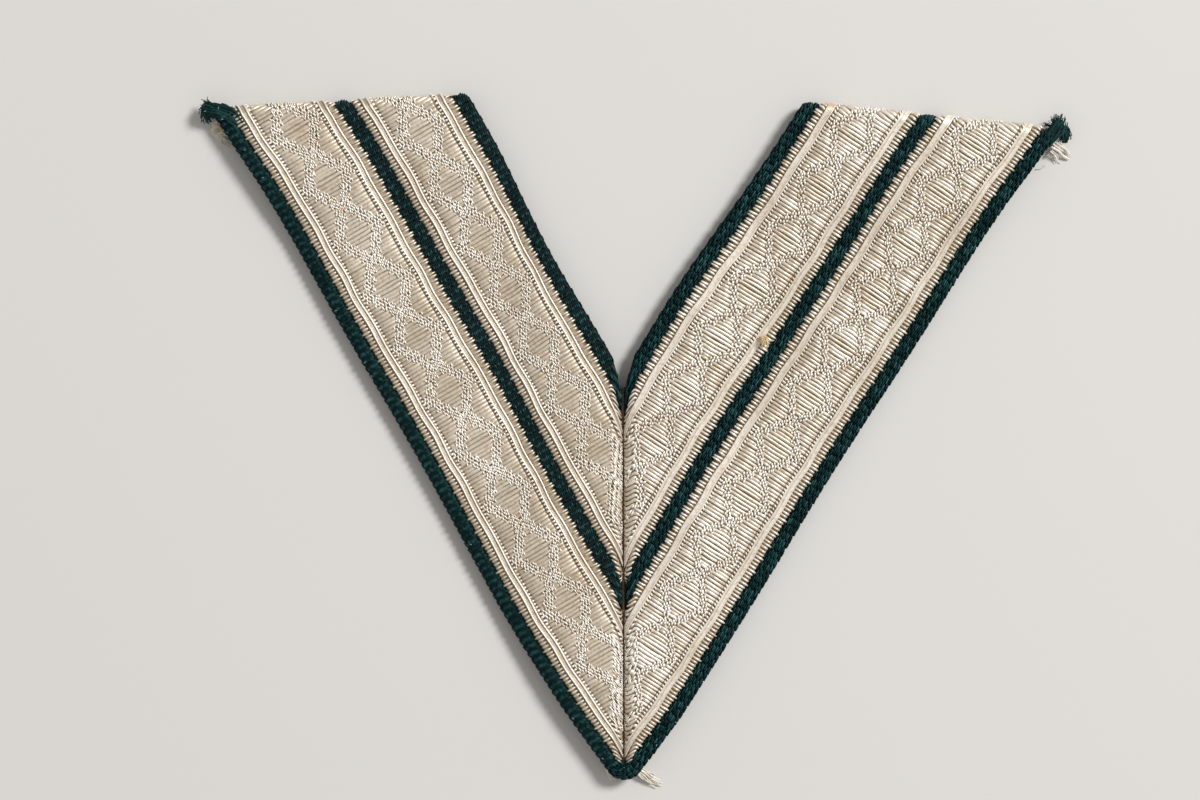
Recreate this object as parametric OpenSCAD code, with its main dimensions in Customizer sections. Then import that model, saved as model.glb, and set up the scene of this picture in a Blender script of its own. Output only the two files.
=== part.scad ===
// Rank chevron patch: one length of double metal braid with green edges, bent to a V.
// Each arm is turned down along a mitre seam in the middle and hemmed under at its top.
// The patch lies flat with its back on z = 0, its tip towards -Y and its face up.
// The origin is the middle of the patch's box, on the surface it lies on.

/* [Chevron] */
// Half of the angle between the two arms, in degrees
arm_angle = 31; // [27:0.5:35]
// Height of the patch from the rounded tip to the top of the hems
chevron_h = 70.8; // [62:0.2:84]
// Fall of each top fold towards the outside, in degrees
fold_fall = 4.6; // [0:0.2:8]
// Outer radius of the rounded tip
tip_r = 3.8; // [3:0.1:5]

/* [Braid] */
// Thickness of the braid at its cord lines
braid_t = 1.1; // [0.9:0.05:1.4]
// Width of the green edge along each side of the braid
edge_w = 1.65; // [1.3:0.05:2.2]
// Width of the silver band next to the outer edge
outer_band_w = 9.45; // [8:0.05:11]
// Width of the green stripe between the two silver bands
middle_w = 1.6; // [1.2:0.05:2.4]
// Width of the silver band next to the inner edge
inner_band_w = 9; // [8:0.05:11]
// Width of the fringe of weft ends along each side of a silver band
fringe_w = 0.8; // [0.5:0.05:1.2]
// Width of the raised cord line inside the fringe
cord_w = 0.75; // [0.5:0.05:1.1]
// Height of the cord line above the woven field
cord_rise = 0.16; // [0.05:0.01:0.3]

/* [Folds] */
// Depth of the hem turned under at each top fold, square to the fold
hem_w = 8; // [5:0.5:12]
// Width of the flap turned under along the mitre seam
flap_w = 5.5; // [3:0.5:8]
// Distance that hems and flaps stay inside the outer edge of the arm
trim_in = 1.2; // [0.6:0.1:2.5]
// Drop of each arm between its hem and its flap, where nothing lies under it
sag = 0.5; // [0:0.05:0.8]
// Length over which an arm sinks from its full height to the drop
sag_run = 7; // [4:0.5:12]

/* [Ends] */
// Length of the raw green end that stands out at each outer top corner
end_l = 2.6; // [1.5:0.1:4]
// Thickness of the raw green end
end_d = 1.6; // [1:0.05:2]

/* [Clearances] */
// Gap between neighbouring stripes of the braid
stripe_gap = 0.08; // [0.06:0.01:0.15]
// Gap between the two arms at the mitre seam
seam_gap = 0.12; // [0.06:0.02:0.4]
// Gap between a turned-under layer and the layer above it
layer_gap = 0.14; // [0.1:0.02:0.3]

/* [Hidden] */

silver = [0.86, 0.82, 0.73];
green = [0.05, 0.24, 0.24];

// Edges of the stripes, measured across the braid from its outer edge
outer_band_v = edge_w;
middle_v = outer_band_v + outer_band_w;
inner_band_v = middle_v + middle_w;
inner_edge_v = inner_band_v + inner_band_w;
braid_w = inner_edge_v + edge_w;

// Segments of each fold, of the open stretch of an arm and of half of the tip
roll_steps = 8;
face_steps = 8;
tip_steps = 5;

// A fold turns about bend_r on its inside and about mid_r at half of its thickness
bend_r = layer_gap / 2;
mid_r = bend_r + braid_t / 2;
roll_reach = bend_r + braid_t;
roll_l = PI * mid_r;
// Height of the underside of an arm where it lies on its hem or flap
lift = braid_t + layer_gap;
seam_x = seam_gap / 2 + roll_reach;

// Directions of the right arm: along it, across it and out of its top fold
along = [sin(arm_angle), cos(arm_angle)];
across = [-cos(arm_angle), sin(arm_angle)];
fold_out = [sin(fold_fall), cos(fold_fall)];

// The straight outer edges of both arms would meet at the point [0, 0]
tip_y = tip_r * (1 / sin(arm_angle) - 1);
tip_mid_y = tip_r / sin(arm_angle);
top_y = tip_y + chevron_h;
notch_y = braid_w / sin(arm_angle);
fold_corner = [(top_y - notch_y) * tan(arm_angle), top_y];
fold_level = fold_corner * fold_out;
// Outer top corner, where the outer edge reaches the line of the top fold
outer_corner = along * (fold_level / (along * fold_out));

function clamp01(t) = min(1, max(0, t));
function ease(t) = clamp01(t) * clamp01(t) * (3 - 2 * clamp01(t));

// Place along the arm at which a line across it reaches a distance from the mitre seam
function u_at_seam(x, v) = (x + v * cos(arm_angle)) / sin(arm_angle);
// Place along the arm at which it reaches a height past the line of the top fold
function u_at_fold(h, v) = (h + fold_level - v * (across * fold_out)) / (along * fold_out);
function flat_point(u, v) = along * u + across * v;

// Near the tip the outer band's border is lifted on to the round inside of the outer edge
inside_r = tip_r - edge_w;
function round_y(x) = tip_mid_y - sqrt(max(0, inside_r * inside_r - x * x));
function sharp_y(x) = edge_w / sin(arm_angle) + x / tan(arm_angle);
function tip_lift(x, v) =
    (x < inside_r * cos(arm_angle) ? round_y(max(0, x)) - sharp_y(max(0, x)) : 0)
    * (1 - ease((v - edge_w) / (outer_band_w / 2)));

// Drop of the face where neither a hem nor a flap lies under it
function drop(p) =
    sag * ease((abs(p[0]) - seam_x - flap_w) / sag_run)
    * ease((fold_level - [abs(p[0]), p[1]] * fold_out - hem_w) / sag_run);

// Share of the full slant with which a stripe runs down into the seam; none at the tip
function seam_slant(v) = ease((v - edge_w) / (0.8 * outer_band_w));
function seam_fall(past, v) = past * seam_slant(v) / tan(arm_angle);

// Length of the flap, which stays inside the outer edge near the tip
function flap_at(v) =
    let (
        y = flat_point(u_at_seam(seam_x, v), v)[1] - seam_fall(roll_l, v),
        room = (y - seam_x / tan(arm_angle) - trim_in / sin(arm_angle)) * tan(arm_angle)
    )
    max(0.2, min(flap_w, room / (1 + seam_slant(v))));

// Depth of the hem, which stays inside the outer edge of the arm
fold_turn = arm_angle - fold_fall;
function hem_at(v) =
    max(0.5, min(hem_w, (v - trim_in) / sin(2 * fold_turn) * cos(fold_turn)));

// A point of the braid rolled down at the mitre seam; x is its flat distance from the seam
function seam_roll(u, v, w) =
    let (
        p = flat_point(u, v),
        past = seam_x - p[0],
        turn = min(180, past / roll_l * 180),
        under = max(0, past - roll_l),
        y = flat_point(u_at_seam(seam_x, v), v)[1] + tip_lift(seam_x, v)
    )
    [
        seam_x - (bend_r + w) * sin(turn) + under,
        y - seam_fall(past, v),
        braid_t + bend_r + (bend_r + w) * cos(turn)
    ];

// A point of the braid rolled over at the top fold
function top_roll(u, v, w) =
    let (
        p = flat_point(u, v),
        past = p * fold_out - fold_level + roll_reach,
        turn = min(180, past / roll_l * 180),
        under = max(0, past - roll_l),
        q = p + fold_out * ((bend_r + w) * sin(turn) - past - under)
    )
    [q[0], q[1], braid_t + bend_r + (bend_r + w) * cos(turn)];

// A point of the face, which drops between the hem and the flap
function face_point(u, v, w) =
    let (p = flat_point(u, v))
    [p[0], p[1] + tip_lift(p[0], v), lift + w - drop(p)];

// Places along the face from one end to the other, with one at the border of the flap
// and one at the border of the hem below it
function stations(low, high, v) =
    let (
        a = max(low + 1, u_at_seam(seam_x + flap_w, v)),
        b = max(a + 1, u_at_fold(-hem_w, v))
    )
    [
        low, (low + a) / 2,
        for (i = [0:face_steps]) a + (b - a) * i / face_steps,
        (b + high) / 2, high
    ];

// Places along the arm of one line of stations, from the flap's end to the hem's end
function flap_u(v) = [
    u_at_seam(seam_x - roll_l - flap_at(v), v),
    for (i = [roll_steps:-1:1]) u_at_seam(seam_x - roll_l * i / roll_steps, v)
];
function face_u(v) = stations(u_at_seam(seam_x, v), u_at_fold(-roll_reach, v), v);
function hem_u(v) = [
    for (i = [1:roll_steps]) u_at_fold(-roll_reach + roll_l * i / roll_steps, v),
    u_at_fold(-roll_reach + roll_l + hem_at(v), v)
];

// A row of points along the braid, at one distance across it and one share of its relief
function stripe_row(v, w, pressed) = concat(
    [for (u = flap_u(v)) seam_roll(u, v, u_past(u, v) ? pressed : w)],
    [for (u = face_u(v)) face_point(u, v, w)],
    [for (u = hem_u(v)) top_roll(u, v, u_over(u, v) ? pressed : w)]
);
// Turned-under stretches are pressed flat, so that the patch lies on a plane
function u_past(u, v) = u < u_at_seam(seam_x - roll_l / 2, v);
function u_over(u, v) = u > u_at_fold(-roll_reach + roll_l / 2, v);

// Sections: each row is [distance from the stripe's outer side, height of the face]
// as shares of the stripe's width and of the braid's thickness
STRIPE_SECTION = [[0, 0.58], [0.18, 0.78], [0.5, 0.84], [0.82, 0.78], [1, 0.58]];
field_t = braid_t - cord_rise;
fringe_t = 0.7 * braid_t;
function band_section(width) = [
    [0, fringe_t],
    [fringe_w, fringe_t],
    [fringe_w + cord_w * 0.3, braid_t],
    [fringe_w + cord_w * 0.7, braid_t],
    [fringe_w + cord_w, field_t - cord_rise / 2],
    [fringe_w + cord_w * 2, field_t],
    [width - fringe_w - cord_w * 2, field_t],
    [width - fringe_w - cord_w, field_t - cord_rise / 2],
    [width - fringe_w - cord_w * 0.7, braid_t],
    [width - fringe_w - cord_w * 0.3, braid_t],
    [width - fringe_w, fringe_t],
    [width, fringe_t]
];
function stripe_section(width) = [for (s = STRIPE_SECTION) [s[0] * width, s[1] * braid_t]];

// A closed body from rows of face points and the rows of back points below them
module swept_sheet(face_rows, back_rows) {
    n = len(face_rows);
    m = len(face_rows[0]);
    points = [for (row = face_rows) each row, for (row = back_rows) each row];
    function face(i, j) = i * m + j;
    function back(i, j) = (n + i) * m + j;
    faces = [
        for (i = [0:n - 2], j = [0:m - 2]) each [
            [face(i, j), face(i + 1, j + 1), face(i, j + 1)],
            [face(i, j), face(i + 1, j), face(i + 1, j + 1)],
            [back(i, j), back(i, j + 1), back(i + 1, j + 1)],
            [back(i, j), back(i + 1, j + 1), back(i + 1, j)]
        ],
        for (j = [0:m - 2]) each [
            [face(0, j), back(0, j + 1), back(0, j)],
            [face(0, j), face(0, j + 1), back(0, j + 1)],
            [face(n - 1, j), back(n - 1, j), back(n - 1, j + 1)],
            [face(n - 1, j), back(n - 1, j + 1), face(n - 1, j + 1)]
        ],
        for (i = [0:n - 2]) each [
            [face(i, 0), back(i, 0), back(i + 1, 0)],
            [face(i, 0), back(i + 1, 0), face(i + 1, 0)],
            [face(i, m - 1), back(i + 1, m - 1), back(i, m - 1)],
            [face(i, m - 1), face(i + 1, m - 1), back(i + 1, m - 1)]
        ]
    ];
    polyhedron(points, faces, convexity = 6);
}

// One stripe of an arm, from its flap over the face to its hem
module arm_stripe(v, section) {
    rows = [for (s = section) [v + stripe_gap / 2 + s[0], s[1]]];
    centred()
        swept_sheet(
            [for (r = rows) stripe_row(r[0], r[1], braid_t)],
            [for (r = rows) stripe_row(r[0], 0, 0)]
        );
}

// Moves the patch so that the middle of its box stands over the origin
module centred() {
    translate([0, -(tip_y + top_y) / 2, 0]) children();
}

module band(v, width) {
    color(silver) arm_stripe(v, band_section(width - stripe_gap));
}

module stripe(v, width) {
    color(green) arm_stripe(v, stripe_section(width - stripe_gap));
}

// The outer edge runs unbroken round the tip. It stops where its raw ends begin, and
// before the band beside it rolls over at the top fold.
edge_end = stripe_gap + max(
    end_l / 2 + 0.4 * end_d,
    roll_reach / cos(fold_turn) + edge_w * tan(fold_turn)
);
function edge_row(v, w) =
    let (
        high = norm(outer_corner) - edge_end,
        low = tip_r / tan(arm_angle),
        arc = [for (i = [0:tip_steps])
            let (turn = (90 - arm_angle) * i / tip_steps)
            [(tip_r - v) * sin(turn), tip_mid_y - (tip_r - v) * cos(turn)]],
        runs = stations(low, high, v),
        half = concat(arc, [for (i = [1:len(runs) - 1]) flat_point(runs[i], v)]),
        count = len(half),
        path = [
            for (i = [count - 1:-1:1]) [-half[i][0], half[i][1]],
            for (p = half) p
        ]
    )
    [for (p = path) [p[0], p[1], lift + w - drop(p)]];

module outer_edge() {
    section = stripe_section(edge_w - stripe_gap / 2);
    color(green) centred()
        mirror([1, 0, 0])
            swept_sheet(
                [for (s = section) edge_row(s[0], s[1])],
                [for (s = section) edge_row(s[0], 0)]
            );
}

// Raw ends: each row is [way along the arm, way outwards, height, thickness]
// as shares of end_l, end_l, lift and end_d, from the outer top corner
LEFT_END = [
    [-0.5, -0.24, 1.45, 0.8],
    [-0.2, 0.1, 1.2, 0.95],
    [0.12, 0.26, 0.85, 0.9],
    [-0.42, 0.46, 0.6, 0.8]
];
RIGHT_END = [
    [-0.5, -0.24, 1.45, 0.8],
    [-0.08, 0, 1.25, 1],
    [0, 0.32, 0.85, 0.95],
    [-0.55, 0.46, 0.6, 0.8]
];

module raw_end(rows) {
    function spot(r) = concat(
        outer_corner + along * r[0] * end_l - across * r[1] * end_l,
        [r[2] * lift]
    );
    centred()
        for (i = [0:len(rows) - 2])
            hull()
                for (r = [rows[i], rows[i + 1]])
                    translate(spot(r)) sphere(d = r[3] * end_d, $fn = 14);
}

module left_outer_band() mirror([1, 0, 0]) band(outer_band_v, outer_band_w);
module left_middle_stripe() mirror([1, 0, 0]) stripe(middle_v, middle_w);
module left_inner_band() mirror([1, 0, 0]) band(inner_band_v, inner_band_w);
module left_inner_edge() mirror([1, 0, 0]) stripe(inner_edge_v, edge_w);
module right_outer_band() band(outer_band_v, outer_band_w);
module right_middle_stripe() stripe(middle_v, middle_w);
module right_inner_band() band(inner_band_v, inner_band_w);
module right_inner_edge() stripe(inner_edge_v, edge_w);
module left_raw_end() color(green) mirror([1, 0, 0]) raw_end(LEFT_END);
module right_raw_end() color(green) raw_end(RIGHT_END);

outer_edge();
left_outer_band();
left_middle_stripe();
left_inner_band();
left_inner_edge();
right_outer_band();
right_middle_stripe();
right_inner_band();
right_inner_edge();
left_raw_end();
right_raw_end();
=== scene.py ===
import math

import bpy
import numpy as np
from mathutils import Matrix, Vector


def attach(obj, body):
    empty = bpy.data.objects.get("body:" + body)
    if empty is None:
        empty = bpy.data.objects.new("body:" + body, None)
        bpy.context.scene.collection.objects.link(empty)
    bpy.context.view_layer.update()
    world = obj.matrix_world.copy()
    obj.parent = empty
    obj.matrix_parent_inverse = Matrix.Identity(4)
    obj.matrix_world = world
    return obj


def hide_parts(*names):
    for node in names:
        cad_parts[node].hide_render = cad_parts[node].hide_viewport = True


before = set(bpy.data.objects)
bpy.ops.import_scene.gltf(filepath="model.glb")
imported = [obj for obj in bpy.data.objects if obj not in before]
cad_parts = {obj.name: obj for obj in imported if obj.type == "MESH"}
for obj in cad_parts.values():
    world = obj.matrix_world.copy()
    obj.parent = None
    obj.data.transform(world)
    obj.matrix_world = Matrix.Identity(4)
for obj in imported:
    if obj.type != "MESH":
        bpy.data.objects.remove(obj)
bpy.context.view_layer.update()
rng = np.random.default_rng(11)
MM = 0.001

# Sizes of the patch in millimetres, the same as the solids'
ARM_ANGLE = math.radians(31.0)
FOLD_FALL = math.radians(4.6)
CHEVRON_H = 70.8
TIP_R = 3.8
BRAID_T = 1.1
EDGE_W = 1.65
OUTER_BAND_W = 9.45
MIDDLE_W = 1.6
INNER_BAND_W = 9.0
FRINGE_W = 0.8
CORD_W = 0.75
HEM_W = 8.0
FLAP_W = 5.5
TRIM_IN = 1.2
SAG = 0.5
SAG_RUN = 7.0
SEAM_GAP = 0.12
LAYER_GAP = 0.14

# Places across the braid, from its outer edge
OUTER_BAND_V = EDGE_W
MIDDLE_V = OUTER_BAND_V + OUTER_BAND_W
INNER_BAND_V = MIDDLE_V + MIDDLE_W
INNER_EDGE_V = INNER_BAND_V + INNER_BAND_W
BRAID_W = INNER_EDGE_V + EDGE_W

# Folds: the inside radius, the reach and the length of a half turn
BEND_R = LAYER_GAP / 2
ROLL_REACH = BEND_R + BRAID_T
ROLL_L = math.pi * (BEND_R + BRAID_T / 2)
LIFT = BRAID_T + LAYER_GAP
SEAM_X = SEAM_GAP / 2 + ROLL_REACH

# Directions of the right arm in the plane of the patch
SIN_A, COS_A, TAN_A = math.sin(ARM_ANGLE), math.cos(ARM_ANGLE), math.tan(ARM_ANGLE)
ALONG = np.array([SIN_A, COS_A])
ACROSS = np.array([-COS_A, SIN_A])
FOLD_OUT = np.array([math.sin(FOLD_FALL), math.cos(FOLD_FALL)])
FOLD_TURN = ARM_ANGLE - FOLD_FALL
TIP_Y = TIP_R * (1 / SIN_A - 1)
TOP_Y = TIP_Y + CHEVRON_H
MIDDLE_Y = (TIP_Y + TOP_Y) / 2
FOLD_LEVEL = float(np.array([(TOP_Y - BRAID_W / SIN_A) * TAN_A, TOP_Y]) @ FOLD_OUT)
CORNER_U = FOLD_LEVEL / float(ALONG @ FOLD_OUT)

# Camera, straight above the patch as in the photograph, whose scale is PX_PER_MM
PX_PER_MM = 9.7
PHOTO_W, PHOTO_H = 1200, 800
APEX_PX = (618.3, 815.3)
ROLL = math.radians(1.38)
LENS = 100.0
CLIP = (0.01, 10)


def spot(px, py):
    """The place on the patch, from its tip, under a pixel of the photograph."""
    dx, dy = px - APEX_PX[0], APEX_PX[1] - py
    x = (dx * math.cos(ROLL) - dy * math.sin(ROLL)) / PX_PER_MM
    return x, (dx * math.sin(ROLL) + dy * math.cos(ROLL)) / PX_PER_MM


def make_camera():
    cam = bpy.data.objects.new("camera", bpy.data.cameras.new("camera"))
    bpy.context.scene.collection.objects.link(cam)
    bpy.context.scene.camera = cam
    cam.data.lens = LENS
    cam.data.clip_start, cam.data.clip_end = CLIP
    high = LENS / cam.data.sensor_width * PHOTO_W / PX_PER_MM
    x, y = spot(PHOTO_W / 2, PHOTO_H / 2)
    cam.location = (x * MM, (y - MIDDLE_Y) * MM, (high + LIFT + BRAID_T) * MM)
    cam.rotation_euler = (0, 0, ROLL)


make_camera()


# The flat braid: u runs along it, v across it and w up from its back
def ease(t):
    t = np.clip(t, 0, 1)
    return t * t * (3 - 2 * t)


# The stretch along the arm that smooth_table covers, beyond both ends of the braid
TABLE_FROM, TABLE_TO, TABLE_STEP = -10, 110, 0.1


def smooth_table(rows, blur):
    """A smooth curve through a short table of (place, value)."""
    at = np.arange(TABLE_FROM, TABLE_TO, TABLE_STEP)
    value = np.interp(at, [r[0] for r in rows], [r[1] for r in rows])
    kernel = np.hanning(int(blur / TABLE_STEP) | 1)
    padded = np.pad(value, len(kernel) // 2, mode="edge")
    return at, np.convolve(padded, kernel / kernel.sum(), mode="valid")


# The real braid isn't quite straight: how far it lies inward of a straight arm, place by place
BENDS = smooth_table([
    (4.8, 0.85), (8, 0.5), (12, 0.15), (16, 0.02), (20, -0.1), (25, -0.15), (30, -0.07), (36, 0.06),
    (42, 0.13), (48, 0.1), (54, -0.02), (60, -0.05), (66, 0.01), (71, 0.0), (75, -0.12), (80, -0.5),
    (84, -0.7),
], 3.0)
# The mitre seam leans a little to the left towards the notch, and the arms beyond it don't
LEAN_TIP_Y, LEAN_AT_TIP, LEAN_PER_MM = 5.2, 0.46, -0.0263
LEAN_REACH, LEAN_FADE = 5, 10


def bend(u):
    return np.interp(u, BENDS[0], BENDS[1])


def lean(x, y):
    near = 1 - ease((np.abs(x) - LEAN_REACH) / LEAN_FADE)
    return near * (LEAN_AT_TIP + LEAN_PER_MM * (y - LEAN_TIP_Y))


def u_at_seam(x, v):
    """Where a straight thread at v meets the line that lies x from the middle of the patch."""
    return (x + v * COS_A) / SIN_A


def u_at_fold(h, v):
    """Where a straight thread at v meets the line that lies h beyond the top fold."""
    return (h + FOLD_LEVEL - v * float(ACROSS @ FOLD_OUT)) / float(ALONG @ FOLD_OUT)


# How the cords are drawn down into the seam: from how near the edge on, how far, and how much
# more over the last stretch before the notch
PULL_RUN = 1.4
PULL = 0.5
NOTCH_RUN, NOTCH_PULL = 2.5, 0.8
SLANT_RUN = 0.8 * OUTER_BAND_W


def seam_slant(v):
    """How much the flap behind the seam is skewed, so that it stays inside the tip."""
    return ease((v - EDGE_W) / SLANT_RUN)


def seam_pull(v):
    """How much further down the cords are drawn where they dive into the seam, most at the notch."""
    near_notch = ease((v - INNER_EDGE_V + NOTCH_RUN) / NOTCH_RUN)
    return ease((v - EDGE_W) / PULL_RUN) * (PULL + NOTCH_PULL * near_notch)


# The shortest flap or hem, and how far a hem stays back from the bowed outer edge
SHORTEST = 0.05
HEM_BACK = 0.6


def flap_at(v):
    room = ((v - TRIM_IN) / COS_A - TAN_A * seam_pull(v)) / (1 + seam_slant(v)) - ROLL_L / 2
    return np.clip(room, SHORTEST, FLAP_W)


def hem_at(v):
    room = ((v - TRIM_IN - HEM_BACK) / math.sin(FOLD_TURN) - ROLL_L) / 2
    return np.clip(room, SHORTEST, HEM_W)


def crossing(line, v):
    """Where a slanting line crosses the bent thread that lies v from the outer edge."""
    u = line(v)
    for _ in range(3):
        u = line(v + bend(u))
    return u


def on_seam(x, v):
    return crossing(lambda at: u_at_seam(x, at), v)


def on_fold(h, v):
    return crossing(lambda at: u_at_fold(h, at), v)


def u_first(v):
    """Where the thread at v begins, at the end of its flap."""
    return on_seam(SEAM_X - ROLL_L - flap_at(v), v)


def u_last(v):
    """Where the thread at v ends, at the end of its hem."""
    return on_fold(-ROLL_REACH + ROLL_L + hem_at(v), v)


def reach_of(v):
    """Both ends of the thread at v."""
    return float(u_first(v)), float(u_last(v))


def on_face(u, v, room=0.3):
    """Whether (u, v) lies on the braid, clear of both its ends."""
    first, last = reach_of(v)
    return first + room < u < last - room


def flat_place(u, v):
    """The plain place of (u, v) in the plane of the patch, on the right arm."""
    v = v + bend(u)
    return u * SIN_A - v * COS_A, u * COS_A + v * SIN_A


# The threads roll down until THREAD_GAP from the middle, and the ones over PRESS_W are pressed out
# by up to PRESS
THREAD_GAP = 0.045
SEEN_ROLL = SEAM_X - THREAD_GAP
PRESS, PRESS_W = 0.17, 0.6


def lay_arm(p, pull=seam_pull):
    """Places points (u, v, w) of the flat braid on the right arm, in millimetres."""
    u, v, w = p[..., 0], p[..., 1], p[..., 2]
    x, y = flat_place(u, v)
    v = v + bend(u)
    h = x * FOLD_OUT[0] + y * FOLD_OUT[1] - FOLD_LEVEL
    drop = SAG * ease((x - SEAM_X - FLAP_W) / SAG_RUN) * ease((-h - HEM_W) / SAG_RUN)
    out = np.stack([x, y, LIFT + w - drop], -1)
    # Rolled down at the mitre seam, where the threads of both arms press together
    past = SEAM_X - x
    turn = np.clip(past / ROLL_L, 0, 1) * math.pi
    press = PRESS * np.clip(w / PRESS_W, 0, 1) * np.sin(turn)
    radius = np.minimum(BEND_R + w + press, SEEN_ROLL)
    seam_y = SEAM_X / TAN_A + v / SIN_A
    seen = np.clip(past, 0, ROLL_L / 2)
    dive = np.sin(seen / ROLL_L * math.pi)
    fall = seen
    if pull:
        side = ease((v - EDGE_W) / PULL_RUN)
        fall = seen + side * (SEEN_ROLL * dive - seen) + TAN_A * pull(v) * dive ** 3
    rolled = np.stack([
        SEAM_X - radius * np.sin(turn) + np.clip(past - ROLL_L, 0, None),
        seam_y - (fall + (past - seen) * seam_slant(v)) / TAN_A,
        BRAID_T + BEND_R + (BEND_R + w) * np.cos(turn),
    ], -1)
    out = np.where((past > 0)[..., None], rolled, out)
    # Rolled over at the top fold
    past = h + ROLL_REACH
    turn = np.clip(past / ROLL_L, 0, 1) * math.pi
    back = (BEND_R + w) * np.sin(turn) - past - np.clip(past - ROLL_L, 0, None)
    rolled = np.stack([
        x + FOLD_OUT[0] * back,
        y + FOLD_OUT[1] * back,
        BRAID_T + BEND_R + (BEND_R + w) * np.cos(turn),
    ], -1)
    return np.where((past > 0)[..., None], rolled, out)


# The outer edge goes round the tip on arcs about one centre, tight on their inside
TURN_R = 2.05
TIP_BEND = 0.85
TURN_MID_Y = (TIP_BEND + TURN_R) / SIN_A
ARC_L = TURN_R * (math.pi / 2 - ARM_ANGLE)
STRAIGHT_U = TURN_MID_Y * COS_A


def lay_edge(p):
    """Places points (s, v, w) on the outer edge; s is 0 at the tip and grows to the right."""
    s, v, w = p[..., 0], p[..., 1], p[..., 2]
    far = np.abs(s)
    turn = np.clip(far / ARC_L, 0, 1) * (math.pi / 2 - ARM_ANGLE)
    u = STRAIGHT_U + np.clip(far - ARC_L, 0, None)
    flat = lay_arm(np.stack([u, v, w], -1), None)
    radius = TURN_R - v
    arc = np.stack([radius * np.sin(turn), TURN_MID_Y - radius * np.cos(turn), LIFT + w], -1)
    out = np.where((far < ARC_L)[..., None], arc, flat)
    out[..., 0] *= np.sign(s) + (s == 0)
    return out


def lay_flat(p):
    return p.copy()


# The lowest point of a thread above the floor, and the rim of the UV square that stays empty
LOWEST = 0.01
UV_RIM = 0.01


def around(sides):
    """The angles of the points round a tube, in radians."""
    return (np.arange(sides) + 0.5) / sides * 2 * math.pi


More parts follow.
